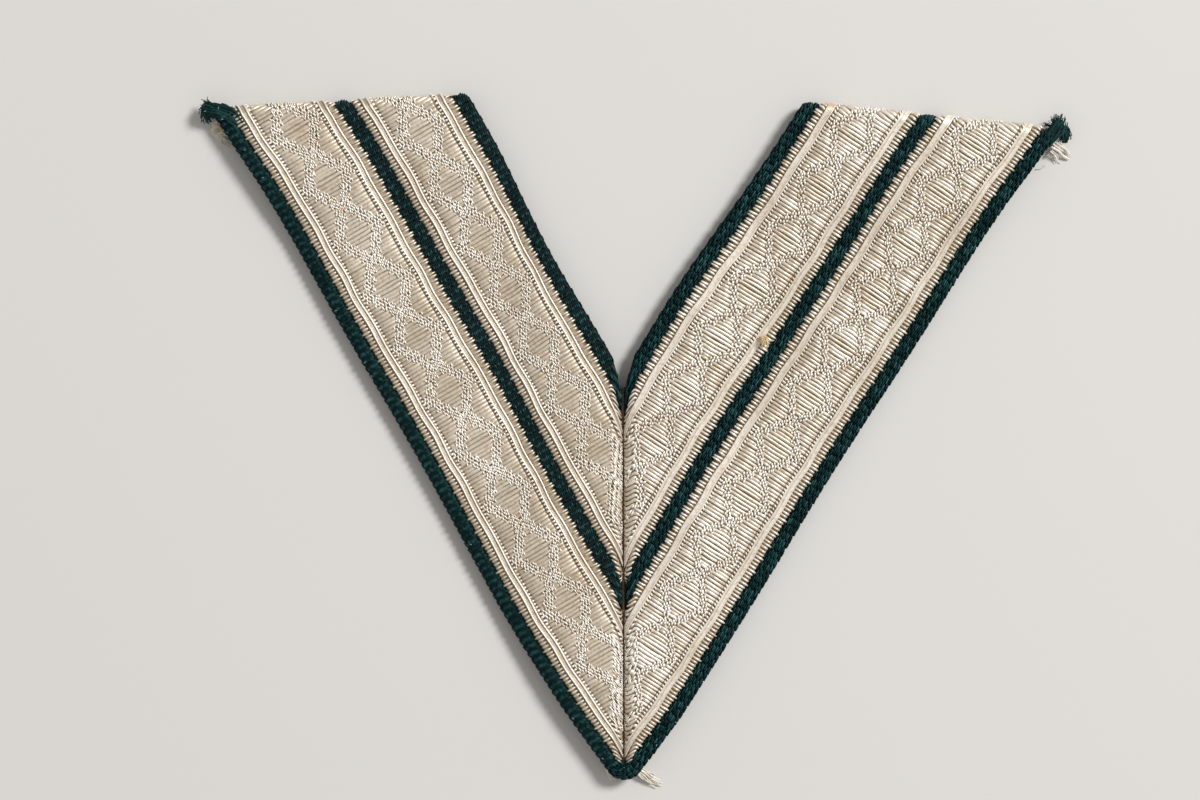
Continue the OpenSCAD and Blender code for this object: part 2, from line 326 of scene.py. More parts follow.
class Threads:
    """Collects closed tubes laid in the flat braid and makes one mesh of them."""

    def __init__(self, name, side, lay):
        self.name, self.side, self.lay = name, side, lay
        self.points, self.tones, self.quads, self.caps = [], [], [], []
        self.count = 0

    def tube(self, path, wide, high, axis, tone, sides=6):
        """A tube along path (n, 3); wide is its half width along axis, high its half height."""
        n = len(path)
        angle = around(sides)
        ring = np.repeat(path[:, None, :], sides, 1)
        ring[:, :, axis] += np.cos(angle) * np.broadcast_to(wide, n)[:, None]
        ring[:, :, 2] += np.sin(angle) * np.broadcast_to(high, n)[:, None]
        self.skin(ring, tone, (axis == 0) != (self.side < 0))

    def strand(self, path, wide, high, tone, sides=5):
        """A free tube along path (n, 3) in millimetres."""
        path = np.asarray(path, float)
        n = len(path)
        run = np.gradient(path, axis=0)
        run /= np.linalg.norm(run, axis=1)[:, None] + 1e-9
        up = np.where(np.abs(run[:, 2:]) > 0.9, [[1.0, 0, 0]], [[0, 0, 1.0]])
        flat = np.cross(up, run)
        flat /= np.linalg.norm(flat, axis=1)[:, None]
        rise = np.cross(run, flat)
        angle = around(sides)
        wide = np.broadcast_to(wide, n)[:, None, None]
        high = np.broadcast_to(high, n)[:, None, None]
        ring = path[:, None, :] + wide * np.cos(angle)[None, :, None] * flat[:, None, :]
        ring = ring + high * np.sin(angle)[None, :, None] * rise[:, None, :]
        self.skin(ring, tone, False)

    def skin(self, ring, tone, flip):
        """The faces round a tube and its two caps; ring (n, sides, 3) holds its points."""
        n, sides = ring.shape[:2]
        i, j = np.meshgrid(np.arange(n - 1), np.arange(sides), indexing="ij")
        k = (j + 1) % sides
        quads = np.stack([i * sides + j, i * sides + k, (i + 1) * sides + k, (i + 1) * sides + j], -1)
        quads = quads.reshape(-1, 4)
        caps = np.stack([np.arange(sides)[::-1], np.arange(sides) + (n - 1) * sides])
        if flip:
            quads, caps = quads[:, ::-1], caps[:, ::-1]
        self.points.append(ring.reshape(-1, 3))
        self.tones.append(np.full(n * sides, tone))
        self.quads.append(quads + self.count)
        self.caps.append(caps + self.count)
        self.count += n * sides

    def sheet(self, grid, thick, tone):
        """A closed slab under a grid (n, m, 3) of face points, u growing down it and v along it."""
        n, m = grid.shape[:2]
        low = grid.copy()
        low[..., 2] = thick
        i, j = np.meshgrid(np.arange(n - 1), np.arange(m - 1), indexing="ij")
        a = (i * m + j).ravel()
        top = np.stack([a, a + m, a + m + 1, a + 1], -1)
        bottom = top[:, ::-1] + n * m
        rim = np.concatenate([
            np.arange(m - 1),
            np.arange(n - 1) * m + m - 1,
            (n - 1) * m + np.arange(m - 1, 0, -1),
            np.arange(n - 1, 0, -1) * m,
        ])
        after = np.roll(rim, -1)
        sides = np.stack([rim, after, after + n * m, rim + n * m], -1)
        quads = np.concatenate([top, bottom, sides])
        if self.side < 0:
            quads = quads[:, ::-1]
        self.points.append(np.concatenate([grid.reshape(-1, 3), low.reshape(-1, 3)]))
        self.tones.append(np.full(2 * n * m, tone))
        self.quads.append(quads + self.count)
        self.count += 2 * n * m

    def build(self, material, low, high):
        """Makes the object; low and high are the heights between which its raised value goes from 0 to 1,
        which the silver and green materials use to paint shade low down.
        """
        flat = np.concatenate(self.points)
        place = self.lay(flat)
        if self.lay is not lay_flat:
            place[:, 0] = self.side * place[:, 0] + lean(place[:, 0], place[:, 1])
        place[:, 1] -= MIDDLE_Y
        place[:, 2] = np.maximum(place[:, 2], LOWEST)
        ob = mesh_object(self.name, place * MM, np.concatenate(self.quads), self.caps, material)
        me = ob.data
        for key, values in (
            ("tone", np.concatenate(self.tones)),
            ("raised", np.clip((flat[:, 2] - low) / (high - low), 0, 1)),
        ):
            me.attributes.new(key, "FLOAT", "POINT").data.foreach_set("value", values)
        first, last = flat[:, :2].min(0), flat[:, :2].max(0)
        corner = np.empty(len(me.loops), dtype=np.int32)
        me.loops.foreach_get("vertex_index", corner)
        uv = (flat[:, :2] - first) / (last - first) * (1 - 2 * UV_RIM) + UV_RIM
        me.uv_layers.new(name="OFBake").data.foreach_set("uv", uv[corner].ravel())
        return ob


def mesh_object(name, points, quads, caps, material):
    sizes = [np.full(len(quads), 4)] + [np.full(len(c), c.shape[1]) for c in caps]
    loops = np.concatenate([quads.ravel()] + [c.ravel() for c in caps])
    sizes = np.concatenate(sizes)
    me = bpy.data.meshes.new(name)
    me.vertices.add(len(points))
    me.vertices.foreach_set("co", np.ascontiguousarray(points, dtype=np.float32).ravel())
    me.loops.add(len(loops))
    me.loops.foreach_set("vertex_index", loops.astype(np.int32))
    me.polygons.add(len(sizes))
    me.polygons.foreach_set("loop_start", (np.cumsum(sizes) - sizes).astype(np.int32))
    me.polygons.foreach_set("use_smooth", np.ones(len(sizes), dtype=bool))
    me.update(calc_edges=True)
    me.validate()
    me.materials.append(material)
    ob = bpy.data.objects.new(name, me)
    bpy.context.scene.collection.objects.link(ob)
    return ob


# Steps along a weft on the face and where the braid rolls, and how far round a roll that reaches
WEFT_STEP, BENT_STEP = 1.2, 0.3
ROLL_ROOM = 0.3


def resample(path, step, bent_step):
    """Adds points to a path (n, k) of (u, v, w, ...), closer together where the braid rolls."""
    rows = [path[:1]]
    for a, b in zip(path[:-1], path[1:]):
        x, y = flat_place(np.array([a[0], b[0]]), np.array([a[1], b[1]]))
        h = x * FOLD_OUT[0] + y * FOLD_OUT[1] - FOLD_LEVEL
        seam = (x.min() < SEAM_X + ROLL_ROOM) and (x.max() > SEAM_X - ROLL_L - ROLL_ROOM)
        fold = (h.max() > -ROLL_REACH - ROLL_ROOM) and (h.min() < -ROLL_REACH + ROLL_L + ROLL_ROOM)
        near = bent_step if seam or fold else step
        parts = max(1, math.ceil(math.hypot(b[0] - a[0], b[1] - a[1]) / near))
        t = (np.arange(parts) + 1)[:, None] / parts
        rows.append(a + (b - a) * t)
    return np.concatenate(rows)


# Where each band's figure lies: the place of one knot of the figure and the figure's repeat
WEFTS_PER_REPEAT = 16
BANDS = {
    "left_outer": dict(side=-1, v=OUTER_BAND_V, width=OUTER_BAND_W, knot=62.39, repeat=6.265),
    "left_inner": dict(side=-1, v=INNER_BAND_V, width=INNER_BAND_W, knot=61.94, repeat=6.32),
    "right_outer": dict(side=1, v=OUTER_BAND_V, width=OUTER_BAND_W, knot=62.63, repeat=6.165),
    "right_inner": dict(side=1, v=INNER_BAND_V, width=INNER_BAND_W, knot=62.7, repeat=6.2),
}

# The diamond figure, charted for one quarter of its repeat. For each weft counted
# from a knot: where its inner float ends and where its outer float begins, as distances
# from the middle of a field whose half width is CHART_HALF. Fine warps show between them
CHART_HALF = 3.05
CHART = [
    (0.0, 0.66),
    (0.0, 0.92),
    (0.42, 0.94),
    (0.42, 1.42),
    (0.90, 1.44),
    (0.90, 1.95),
    (1.42, 1.97),
    (1.42, 2.58),
    (2.02, 2.60),
]

# Heights above the back of the braid: the ground cloth, a float of weft, and a weft that dips
# under the fine warps. A float's half width and half height depend on the arm (-1 left, 1 right),
# because the arms lie differently to the light
GROUND_W, GROUND_LOW = 0.62, 0.03
FLOAT_W = 0.80
FLOAT_WIDE = {-1: 0.21, 1: 0.178}
FLOAT_HIGH = {-1: 0.09, 1: 0.155}
DIP_W, DIP_WIDE = 0.7, 0.14
# A weft's shade and its spread, on each arm, which is painted light: the same silver thread is
# painted darker on the left arm and lighter on the right, for how the light falls on each arm
WEFT_TONE = {-1: (0.4, 0.06), 1: (0.62, 0.15)}
# The heights between which painted shade fades as the threads rise: on the silver, where it is partly
# real tarnish, and on the green; the loose threads get them too, but their material doesn't use them
SILVER_SHADE = (0.56, 0.9)
GREEN_SHADE = (0.66, 0.93)
LOOSE_SHADE = (0, 2)

# A weft from its tooth in the fringe to the field: (place beyond the field's side, share of the
# tooth that is added to it, height, half width)
WEFT_SIDE = [
    (CORD_W + FRINGE_W, 1.0, 0.66, 0.07),
    (CORD_W + 0.68, 0.6, 0.8, 0.118),
    (CORD_W + 0.34, 0.0, 0.84, 0.128),
    (CORD_W + 0.04, 0.0, 0.7, 0.12),
    (0.38, 0.0, 0.5, 0.12),
    (0.04, 0.0, 0.7, 0.13),
    (-0.12, 0.0, 0.76, 0.14),
    (-0.32, 0.0, 0.72, 0.12),
]
# How far in from the field's side the first float starts; from what length on a stretch is a
# float, and has a middle point of its own; how far short of the dip it ends, how far under the
# warps the dip reaches, and how a float's ends, middle and the figure's knot differ in height
FLOAT_IN = 0.42
FLOAT_MIN, INNER_MIN, FLOAT_LONG = 0.25, 0.3, 0.9
FLOAT_END, DIP_END = 0.1, 0.04
END_DOWN, FLOAT_CROWN, KNOT_UP = 0.01, 0.02, 0.03

# Teeth of the fringe at the inner and at the outer side of a band: long and short
INNER_TEETH = (0.2, 0.04)
OUTER_TEETH = (0.22, 0.03)
TOOTH_STRAY = 0.025
# Along the braid: how far a weft strays, leans, bows in the figure and pairs in the fringe
WEFT_STRAY = 0.014
WEFT_LEAN = 0.045
WEFT_BOW = 0.06
PAIR = 0.045
PAIR_RUN = 0.5

# Fine warps that show as seeds over single wefts. SEED is one seed's arch: (share of its half
# length, height). SEEDS says how far their rows reach past the ends of the floats, their half
# length, slant and half width, the step from one to the next in a row, and how far they stray
SEED = np.array([(-1, -0.08), (0, 0.03), (1, -0.08)])
SEED_W, SEED_HIGH = 0.95, 0.075
SEED_IN = 0.3
# The wefts' numbers run on past a band's outer side, because its inner side ends further up
MORE_WEFTS = 20
SEEDS = {
    -1: dict(reach=0.2, long=0.185, slant=0.0, wide=0.083, row=0.175, stray=0.02),
    1: dict(reach=0.03, long=0.165, slant=0.05, wide=0.112, row=0.24, stray=0.03),
}


def weft_half(m, half, tooth, wide):
    """One half of a weft from its tooth in the fringe to the middle: (distance, height, half width)."""
    share = half / CHART_HALF
    inner, outer = CHART[m][0] * share, CHART[m][1] * share
    rows = [(half + place + part * tooth, w, a) for place, part, w, a in WEFT_SIDE]
    start = half - FLOAT_IN
    if start > outer + FLOAT_MIN:
        rows += [(start, FLOAT_W, wide)]
        if start - outer > FLOAT_LONG:
            rows += [((start + outer) / 2, FLOAT_W + FLOAT_CROWN, wide)]
        rows += [(outer + FLOAT_END, FLOAT_W - END_DOWN, wide)]
    rows += [(outer - DIP_END, DIP_W, DIP_WIDE)]
    if inner > INNER_MIN:
        rows += [(inner + DIP_END, DIP_W, DIP_WIDE), (inner - FLOAT_END, FLOAT_W - END_DOWN, wide)]
        if inner > FLOAT_LONG:
            rows += [(inner * 0.5, FLOAT_W + FLOAT_CROWN, wide)]
        middle = (0.0, FLOAT_W + KNOT_UP, wide)
    else:
        middle = (0.0, DIP_W, DIP_WIDE)
    return rows, middle


# Steps in which a weft is tried against the ends of the braid, and the room between its points
CLIP_STEPS, CLIP_MIN = 240, 6
CLIP_ROOM = 0.03


def clip_path(path):
    """Keeps the stretch of a weft that lies on the braid, between its two slanting ends."""
    v = path[:, 1]
    u = path[:, 0]
    dense = np.linspace(v[0], v[-1], CLIP_STEPS)
    along = np.interp(dense, v, u)
    inside = (along > u_first(dense)) & (along < u_last(dense))
    if inside.sum() < CLIP_MIN:
        return None
    kept = dense[inside]
    low, high = kept[0], kept[-1]
    middle = (v > low + CLIP_ROOM) & (v < high - CLIP_ROOM)
    ends = [np.array([np.interp(x, v, path[:, k]) for k in range(path.shape[1])]) for x in (low, high)]
    ends[0][1], ends[1][1] = low, high
    return np.vstack([ends[0], path[middle], ends[1]])


def shade_of(middle, spread):
    """A random shade between 0 and 1."""
    return float(np.clip(rng.normal(middle, spread), 0, 1))


def field_of(band):
    """The field between a band's cords: its middle, its half width and the pitch of its wefts."""
    half = band["width"] / 2 - FRINGE_W - CORD_W
    return band["v"] + band["width"] / 2, half, band["repeat"] / WEFTS_PER_REPEAT


def chart_row(k):
    """The place of weft k in the figure's repeat, and its row of the chart."""
    phase = k % WEFTS_PER_REPEAT
    return phase, min(phase, WEFTS_PER_REPEAT - phase)


# A bead of weft: how far it lies inside the field, half its length, its half width, its half
# height, its middle's height, and its slant on each arm
BEAD = dict(inward=0.14, long=0.16, wide=0.125, high=0.1, middle=0.96, slant={-1: 0.0, 1: 0.07})
BEAD_STRAY = 0.015


def lay_wefts(threads, band):
    side = band["side"]
    middle_v, half, pitch = field_of(band)
    first, last = reach_of(band["v"])
    k_low = math.ceil((first - 1 - band["knot"]) / pitch)
    k_high = math.floor((last + 1 - band["knot"]) / pitch)
    for k in range(k_low, k_high + 1):
        phase, m = chart_row(k)
        u = band["knot"] + k * pitch + rng.normal(0, WEFT_STRAY)
        inner_tooth = INNER_TEETH[(k // 2) % 2] + rng.normal(0, TOOTH_STRAY)
        outer_tooth = OUTER_TEETH[min(k % 4, 1)] + rng.normal(0, TOOTH_STRAY)
        rows, middle = weft_half(m, half, inner_tooth, FLOAT_WIDE[side])
        mirrored = [(-c, w, a) for c, w, a in weft_half(m, half, outer_tooth, FLOAT_WIDE[side])[0]]
        profile = np.array(mirrored + [middle] + rows[::-1])
        c = profile[:, 0]
        bow = WEFT_BOW * math.copysign(1, phase - 8) if 3 <= m < 8 else 0.0
        inner = max(CHART[m][0], INNER_MIN)
        sway = bow * np.clip(1 - (c / inner) ** 2, 0, 1) + 0.015 * np.sin(c * 1.7 + rng.uniform(0, 6))
        # The wefts come out in pairs between the fringe and the green
        pair = (PAIR if k % 2 == 0 else -PAIR) * ease((c - half - CORD_W) / PAIR_RUN)
        lift = rng.normal(0, 0.01)
        path = np.stack([
            u + sway + pair + WEFT_LEAN * (c / half), middle_v + c, profile[:, 1] + lift,
            profile[:, 2] * (1 + rng.normal(0, 0.04)),
        ], -1)
        path = clip_path(path)
        if path is None:
            continue
        path = resample(path, WEFT_STEP, BENT_STEP)
        tone = shade_of(*WEFT_TONE[side])
        threads.tube(path[:, :3], path[:, 3], np.minimum(path[:, 3], FLOAT_HIGH[side]), 0, tone)
        for way in (-1, 1):
            lay_bead(threads, side, u + way * WEFT_LEAN, middle_v + way * (half - BEAD["inward"]))


def lay_bead(threads, side, u, v):
    """A bead where a weft passes over the first warp beside a cord."""
    if not on_face(u, v):
        return
    long = BEAD["long"] + rng.normal(0, BEAD_STRAY)
    path = np.stack([
        u + SEED[:, 0] * BEAD["slant"][side], v + SEED[:, 0] * long,
        BEAD["middle"] + SEED[:, 1] + rng.normal(0, BEAD_STRAY),
    ], -1)
    threads.tube(path, BEAD["wide"], BEAD["high"], 0, shade_of(0.75, 0.12), 6)


def lay_seeds(threads, band):
    """Rows of seeds along the outlines of the figure, like bricks in a wall."""
    kind = SEEDS[band["side"]]
    middle_v, half, pitch = field_of(band)
    share = half / CHART_HALF
    first, last = reach_of(band["v"])[0], reach_of(band["v"] + band["width"])[1]
    k_low = math.ceil((first - band["knot"]) / pitch)
    k_high = math.floor((last - band["knot"]) / pitch) + MORE_WEFTS
    for k in range(k_low, k_high + 1):
        m = chart_row(k)[1]
        low = max(0, CHART[m][0] * share - kind["reach"])
        high = min(half - SEED_IN, CHART[m][1] * share + kind["reach"])
        count = max(1, round((high - low) / kind["row"]))
        for way in (-1, 1):
            for i in range(count):
                c = way * (low + (i + 0.5) * (high - low) / count) + rng.normal(0, kind["stray"])
                shift = (0.25 if i % 2 else -0.25) * pitch
                at = band["knot"] + k * pitch + shift + WEFT_LEAN * c / half + rng.normal(0, 0.035)
                v = middle_v + c
                if not on_face(at, v):
                    continue
                slant = kind["slant"] + rng.normal(0, 0.03)
                long = kind["long"] + rng.normal(0, 0.02)
                path = np.stack([
                    at + SEED[:, 0] * long, v + SEED[:, 0] * slant,
                    SEED_W + SEED[:, 1] + rng.normal(0, 0.025),
                ], -1)
                threads.tube(path, kind["wide"], SEED_HIGH, 1, shade_of(0.96, 0.15), 5)


# Steps along a warp where the braid rolls, how far it stops short of the braid's ends, and how
# far before the seam the finer steps begin
WARP_BENT_STEP = 0.2
WARP_END = 0.05
WARP_SEAM_ROOM = 0.4


def warp_line(v, spacing):
    """Places along one warp from its flap to its hem, closer together where the braid rolls."""
    first, last = reach_of(v)
    low, high = first + WARP_END, last - WARP_END
    seam = float(on_seam(SEAM_X + WARP_SEAM_ROOM, v))
    fold = float(on_fold(-ROLL_REACH - ROLL_ROOM, v))
    face = np.linspace(seam, fold, max(2, round((fold - seam) / spacing)))
    under = np.linspace(low, seam, max(2, round((seam - low) / WARP_BENT_STEP)), endpoint=False)
    over = np.linspace(fold, high, max(2, round((high - fold) / WARP_BENT_STEP)) + 1)[1:]
    return np.concatenate([under, face, over])


# The cord beside the fringe and the field, thread by thread: (place, half width, half height,
# top, tone). On the left arm a channel shows between two bright lines, on the right a ribbon.
# Their difference between the arms is painted light: the same cord is painted as a dark channel
# on the left and a light ribbon on the right, for how the light falls on each arm
CORD = {
    -1: [
        (0.10, 0.10, 0.10, 1.03, 0.85),
        (0.24, 0.08, 0.07, 0.89, 0.0),
        (0.375, 0.08, 0.07, 0.88, 0.0),
        (0.51, 0.08, 0.07, 0.89, 0.0),
        (0.65, 0.10, 0.10, 1.03, 0.85),
    ],
    1: [
        (0.10, 0.10, 0.10, 1.02, 0.72),
        (0.24, 0.085, 0.08, 0.98, 0.6),
        (0.375, 0.085, 0.08, 1.03, 0.75),
        (0.51, 0.085, 0.08, 1.01, 0.82),
        (0.65, 0.10, 0.10, 1.02, 0.72),
    ],
}


# Steps along a line and along a thread between two lines, and the wave that the figure gives them
LINE_STEP, BETWEEN_STEP = 0.55, 1.0
CORD_WAVE = -0.06


def lay_cords(threads, band):
    """Two smooth raised lines along each side of the field, with flat threads between them."""
    v0, width = band["v"], band["width"]
    for way in (-1, 1):
        for place, wide, high, top, tone in CORD[band["side"]]:
            v = v0 + width / 2 + way * (width / 2 - FRINGE_W - CORD_W + place)
            u = warp_line(v, LINE_STEP if wide > 0.09 else BETWEEN_STEP)
            phase = 2 * math.pi * (u - band["knot"]) / band["repeat"]
            wave = CORD_WAVE * np.cos(phase) + 0.02 * np.sin(u * 1.3 + way)
            line = np.stack([u, v + way * wave, top - high + 0.012 * np.sin(u * 2.1 + place * 9)], -1)
            threads.tube(line, wide, high, 1, tone, 6)


GREEN_ROOM = 0.1
RIB_TOP, RIB_ROUND, RIB_POWER = 0.92, 0.26, 2.6


def green_at(v):
    """1 under the green stripes and 0 under the silver bands."""
    middle = (v > MIDDLE_V - GREEN_ROOM) & (v < INNER_BAND_V + GREEN_ROOM)
    return np.where(middle | (v > INNER_EDGE_V - GREEN_ROOM), 1.0, 0.0)


def rib_height(share):
    """Height of a green stripe's face across its width, rounded down at both sides."""
    return RIB_TOP - RIB_ROUND * np.abs(2 * share - 1) ** RIB_POWER


# A rib from the gap before it to the gap after it, deep on the left arm and shallow on the right
RIB_PLACE = np.array([-1, -0.68, 0, 0.68, 1])
RIB_RISE = {
    -1: np.array([-0.46, -0.07, 0.06, -0.07, -0.46]),
    1: np.array([-0.1, 0.0, 0.02, 0.0, -0.1]),
}
RIB_HALF = {-1: 0.345, 1: 0.47}
# The ribs' shade and its spread on each arm, which is painted light: the same green yarn is painted
# lighter on the left arm than on the right, for how the light falls on each
RIB_TONE = {-1: (0.68, 0.28), 1: (0.5, 0.28)}
RIB_WARPS = 8
# A warp's half width as a share of their step, and its half height
RIB_WIDE, RIB_HIGH = 0.46, 0.1
EDGE_RIB_PITCH = 0.77


def lay_ribs(threads, v0, width, u_span, pitch, start, wavy):
    """Green ribs: rows of short warp floats side by side, with a dark gap after each row."""
    step = width / RIB_WARPS
    for i in range(RIB_WARPS):
        share = (i + 0.5) / RIB_WARPS
        v = v0 + share * width
        low, high = u_span(v)
        for r in range(math.ceil((low - start) / pitch), math.floor((high - start) / pitch) + 1):
            at = start + r * pitch + 0.05 * math.sin(i * 1.9) + rng.normal(0, 0.02)
            if at - pitch * 0.5 < low or at + pitch * 0.5 > high:
                continue
            side_way = 0.05 * math.cos(math.pi * r) * (2 * share - 1) ** 3 if wavy else 0.0
            side = threads.side if wavy else (-1 if at < -ARC_L else 1)
            if side > 0:
                at += pitch * (0.25 * (i % 2) + rng.uniform(-0.12, 0.12))
            path = np.stack([
                at + RIB_PLACE * pitch * RIB_HALF[side],
                v + side_way + RIB_PLACE * 0.03 + rng.normal(0, 0.012, 5),
                rib_height(share) - RIB_HIGH + RIB_RISE[side] + rng.normal(0, 0.03),
            ], -1)
            threads.tube(path, step * RIB_WIDE, RIB_HIGH, 1, shade_of(*RIB_TONE[side]), 5)


# Materials
def node_material(name, **uniform):
    """A new material; uniform gives the shader's plain values, with _ for a blank in their names."""
    m = bpy.data.materials.new(name)
    m.use_nodes = True
    shader = m.node_tree.nodes["Principled BSDF"]
    for key, value in uniform.items():
        shader.inputs[key.replace("_", " ")].default_value = value
    return m, m.node_tree, shader


def add(tree, kind, inputs=(), **settings):
    node = tree.nodes.new(kind)
    for key, value in settings.items():
        setattr(node, key, value)
    for key, value in dict(inputs).items():
        if isinstance(value, bpy.types.NodeSocket):
            tree.links.new(value, node.inputs[key])
        else:
            node.inputs[key].default_value = value
    return node


def mix(tree, share, a, b, blend="MIX"):
    node = tree.nodes.new("ShaderNodeMix")
    node.data_type, node.blend_type = "RGBA", blend
    for key, value in ((0, share), (6, a), (7, b)):
        if isinstance(value, bpy.types.NodeSocket):
            tree.links.new(value, node.inputs[key])
        else:
            node.inputs[key].default_value = value
    return node.outputs[2]


def ramp(tree, value, stops):
    node = tree.nodes.new("ShaderNodeValToRGB")
    tree.links.new(value, node.inputs[0])
    marks = node.color_ramp.elements
    while len(marks) < len(stops):
        marks.new(0.5)
    for mark, (at, colour) in zip(marks, stops):
        mark.position, mark.color = at, colour
    return node.outputs[0]


def attribute(tree, key):
    return add(tree, "ShaderNodeAttribute", attribute_name=key).outputs["Fac"]


def noise(tree, scale, detail=3.0, rough=0.55):
    where = add(tree, "ShaderNodeTexCoord").outputs["Object"]
    return add(
        tree, "ShaderNodeTexNoise",
        {"Vector": where, "Scale": scale, "Detail": detail, "Roughness": rough},
    ).outputs["Fac"]


def rgb(r, g, b):
    return (r, g, b, 1.0)


BLACK, PLAIN_WHITE = rgb(0, 0, 0), rgb(1, 1, 1)


def bump(tree, shader, height, strength, distance):
    node = add(tree, "ShaderNodeBump", {"Strength": strength, "Distance": distance, "Height": height})
    tree.links.new(node.outputs[0], shader.inputs["Normal"])


def silver_thread():
    """Aged silver thread: cream where it lies high, brown where it lies low in the weave, partly real
    tarnish and partly painted shade in the hollows.
    """
    m, tree, shader = node_material("silver_thread", Metallic=0.4)
    tone = ramp(tree, attribute(tree, "tone"), [
        (0.0, rgb(0.5, 0.435, 0.35)), (0.5, rgb(0.71, 0.635, 0.535)), (1.0, rgb(0.98, 0.95, 0.9)),
    ])
    cloud = ramp(tree, noise(tree, 160, 4), [(0.35, rgb(0.86, 0.83, 0.78)), (0.65, PLAIN_WHITE)])
    colour = mix(tree, 1.0, tone, cloud, "MULTIPLY")
    specks = ramp(tree, noise(tree, 3200, 2), [(0.36, rgb(0.83, 0.77, 0.69)), (0.52, PLAIN_WHITE)])
    colour = mix(tree, 1.0, colour, specks, "MULTIPLY")
    # Painted shade, partly real tarnish: the lower a point lies, the more its colour turns brown, fully
    # at the bottom and not at all from raised 0.55 up
    depth = ramp(tree, attribute(tree, "raised"), [(0.0, PLAIN_WHITE), (0.55, BLACK)])
    colour = mix(tree, depth, colour, rgb(0.54, 0.39, 0.22))
    spots = ramp(tree, attribute(tree, "stain"), [(0.0, BLACK), (1.0, rgb(0.55, 0.55, 0.55))])
    colour = mix(tree, spots, colour, rgb(0.55, 0.33, 0.14))
    tree.links.new(colour, shader.inputs["Base Color"])
    rough = add(tree, "ShaderNodeMapRange", {"Value": noise(tree, 900), "To Min": 0.33, "To Max": 0.45})
    tree.links.new(rough.outputs[0], shader.inputs["Roughness"])
    bump(tree, shader, noise(tree, 6000, 2), 0.12, 0.00003)
    return m


def green_thread():
    """Dark green yarn with teal crests, painted darker down to near-black where it lies low, as shade in
    the gaps.
    """
    m, tree, shader = node_material(
        "green_thread", Roughness=0.5, Specular_IOR_Level=0.22, Specular_Tint=rgb(0.35, 0.9, 0.85)
    )
    tone = ramp(tree, attribute(tree, "tone"), [
        (0.0, rgb(0.001, 0.005, 0.006)), (0.5, rgb(0.0045, 0.017, 0.02)), (1.0, rgb(0.02, 0.07, 0.073)),
    ])
    # Painted shade: where the yarn lies low, in the gaps between and under the ribs, its colour is mixed
    # towards near-black
    depth = ramp(tree, attribute(tree, "raised"), [(0.0, PLAIN_WHITE), (0.7, BLACK)])
    colour = mix(tree, depth, tone, rgb(0.0005, 0.003, 0.0035))
    worn = ramp(tree, noise(tree, 2600, 3), [(0.6, BLACK), (0.85, rgb(0.5, 0.5, 0.5))])
    colour = mix(tree, worn, colour, rgb(0.015, 0.1, 0.095))
    tree.links.new(colour, shader.inputs["Base Color"])
    bump(tree, shader, noise(tree, 12000, 2), 0.3, 0.00003)
    return m


def ground_and_gap_shade():
    """The ground of the braid, seen between the threads: brown under the silver, partly real tarnish and
    partly painted shade, and near-black under the green, painted shade in the gaps.
    """
    m, tree, shader = node_material("ground_and_gap_shade", Roughness=0.8, Specular_IOR_Level=0.2)
    green = attribute(tree, "tone")
    # Painted shade: the brown under the silver is partly real tarnish, and the near-black under the green
    # stands for the shade in its gaps
    silver = mix(tree, noise(tree, 700), rgb(0.36, 0.27, 0.17), rgb(0.5, 0.4, 0.28))
    colour = mix(tree, green, silver, rgb(0.001, 0.006, 0.007))
    tree.links.new(colour, shader.inputs["Base Color"])
    bump(tree, shader, noise(tree, 5000, 2), 0.4, 0.00005)
    return m


def plain_thread(name, colour, dark):
    """Matte cotton or wool thread with a little unevenness."""
    m, tree, shader = node_material(name, Roughness=0.75, Specular_IOR_Level=0.2)
    shade = mix(tree, attribute(tree, "tone"), dark, colour)
    colour = mix(tree, noise(tree, 3000, 3), shade, dark)
    tree.links.new(colour, shader.inputs["Base Color"])
    bump(tree, shader, noise(tree, 14000, 2), 0.4, 0.00003)
    return m


SILVER = silver_thread()
GREEN = green_thread()
GROUND = ground_and_gap_shade()
YARN = plain_thread("green_yarn", rgb(0.012, 0.082, 0.077), rgb(0.0015, 0.014, 0.015))
WHITE = plain_thread("white_thread", rgb(0.95, 0.92, 0.86), rgb(0.7, 0.64, 0.54))
TAN = plain_thread("tan_thread", rgb(0.82, 0.68, 0.44), rgb(0.5, 0.37, 0.2))
BROWN = plain_thread("seam_thread", rgb(0.2, 0.12, 0.06), rgb(0.06, 0.035, 0.018))
# Pale teal of the specks: painted highlights on the green yarn
SPECK = plain_thread("pale_specks", rgb(0.5, 0.62, 0.58), rgb(0.2, 0.34, 0.31))


def finish_piece(piece, slot, *nodes):
    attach(piece, "root")
    if nodes:
        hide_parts(*nodes)
    return piece


# Small tan stains: (band, u, v, radius)
STAINS = [
    ("right_inner", 56.3, 14.4, 0.5),
    ("right_inner", 54.0, 17.8, 0.35),
    ("right_inner", 73.4, 20.8, 0.9),
    ("right_outer", 76.8, 10.6, 0.6),
    ("left_outer", 68.3, 6.1, 0.5),
]


def stain(ob, threads, key):
    """Gives the points of a band their share of stain, from 0 to 1."""
    flat = np.concatenate(threads.points)
    amount = np.zeros(len(flat))
    for name, u, v, radius in STAINS:
        if name == key:
            far = np.hypot(flat[:, 0] - u, flat[:, 1] - v) / radius
            amount = np.maximum(amount, 1 - ease(far))
    ob.data.attributes.new("stain", "FLOAT", "POINT").data.foreach_set("value", amount)


def make_band(key):
    band = BANDS[key]
    threads = Threads(key + "_weave", band["side"], lay_arm)
    lay_wefts(threads, band)
    lay_seeds(threads, band)
    lay_cords(threads, band)
    ob = threads.build(SILVER, *SILVER_SHADE)
    stain(ob, threads, key)
    return finish_piece(ob, "silver_braid", key + "_band")


